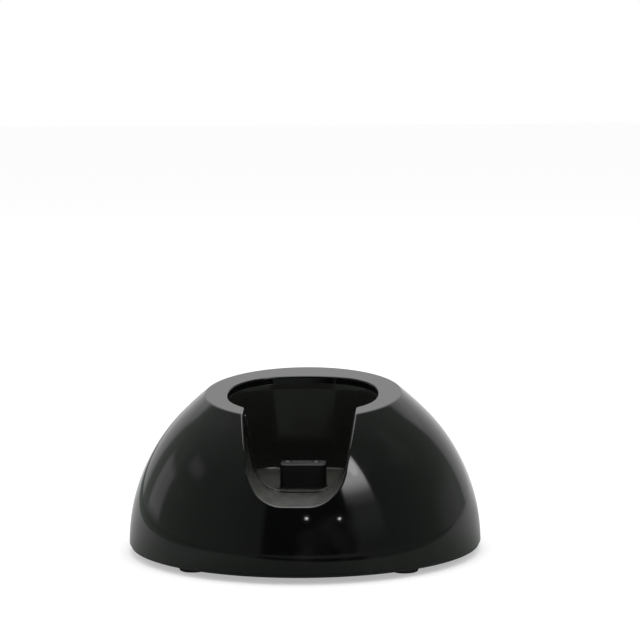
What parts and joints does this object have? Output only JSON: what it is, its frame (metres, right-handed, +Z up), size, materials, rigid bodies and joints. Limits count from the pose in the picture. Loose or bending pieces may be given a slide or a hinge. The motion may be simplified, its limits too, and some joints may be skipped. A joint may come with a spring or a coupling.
{
  "type": "clipper charging stand",
  "caption": "Half-dome desk stand that charges a cordless clipper: an oval well with an open front notch, a contact block with sprung pins, a weighted base and a power inlet at the back.",
  "frame": {"origin": "centre of the footprint, on the surface that the rubber feet stand on", "axes": "+Z up, -Y towards the open notch at the front, +Y towards the power inlet at the back, +X to the right as seen from the front"},
  "size_m": [0.111, 0.111, 0.0543],
  "materials": {
    "shell_black": "piano-gloss black moulding",
    "liner_black": "satin-gloss black moulding",
    "block_black": "gloss black moulding",
    "base_black": "fine spark-eroded black moulding",
    "inlet_black": "satin black moulding",
    "foot_rubber": "matt black rubber",
    "contact_nickel": "nickel plate on a turned pin",
    "contact_brass": "bare stamped brass",
    "spring_steel": "drawn spring wire",
    "screw_steel": "zinc-plated steel",
    "ballast_steel": "zinc-plated plate with sheared edges",
    "board_green": "glass-fibre board under green solder mask",
    "lead_red": "red insulation",
    "lead_black": "black insulation",
    "plug_white": "natural nylon",
    "can_aluminium": "plain drawn can",
    "chip_black": "moulded epoxy"
  },
  "bodies": {
    "stand": {"dome_shell": "shell_black", "well_liner": "liner_black", "liner_screws": "screw_steel", "contact_block": "block_black", "contact_spring_left": "spring_steel", "contact_spring_right": "spring_steel", "spring_seat_left": "contact_brass", "spring_seat_right": "contact_brass", "contact_board": "board_green", "contact_board_screws": "screw_steel", "lead_positive": "lead_red", "lead_negative": "lead_black", "lead_plug": "plug_white", "lead_header": "plug_white", "main_board": "board_green", "main_board_screws": "screw_steel", "inlet_housing": "inlet_black", "inlet_centre_pin": "contact_nickel", "inlet_side_contact": "contact_brass", "smoothing_capacitor": "can_aluminium", "choke": "chip_black", "charge_controller": "chip_black", "diode": "chip_black", "chip_resistors": "chip_black", "ballast_plate": "ballast_steel", "ballast_screws": "screw_steel", "base_plate": "base_black", "base_screws": "screw_steel", "foot_front_left": "foot_rubber", "foot_front_right": "foot_rubber", "foot_back_left": "foot_rubber", "foot_back_right": "foot_rubber"},
    "pin_left": {"contact_pin_left": "contact_nickel"},
    "pin_right": {"contact_pin_right": "contact_nickel"}
  },
  "joints": [
    {"name": "contact_left_press", "type": "slide", "parent": "stand", "child": "pin_left", "axis": [0, 0, -1], "range_m": [0, 0.0015], "stiffness_N_per_m": 400, "springref_m": -0.001, "deforming": ["contact_spring_left"]},
    {"name": "contact_right_press", "type": "slide", "parent": "stand", "child": "pin_right", "axis": [0, 0, -1], "range_m": [0, 0.0015], "stiffness_N_per_m": 400, "springref_m": -0.001, "deforming": ["contact_spring_right"]}
  ]
}
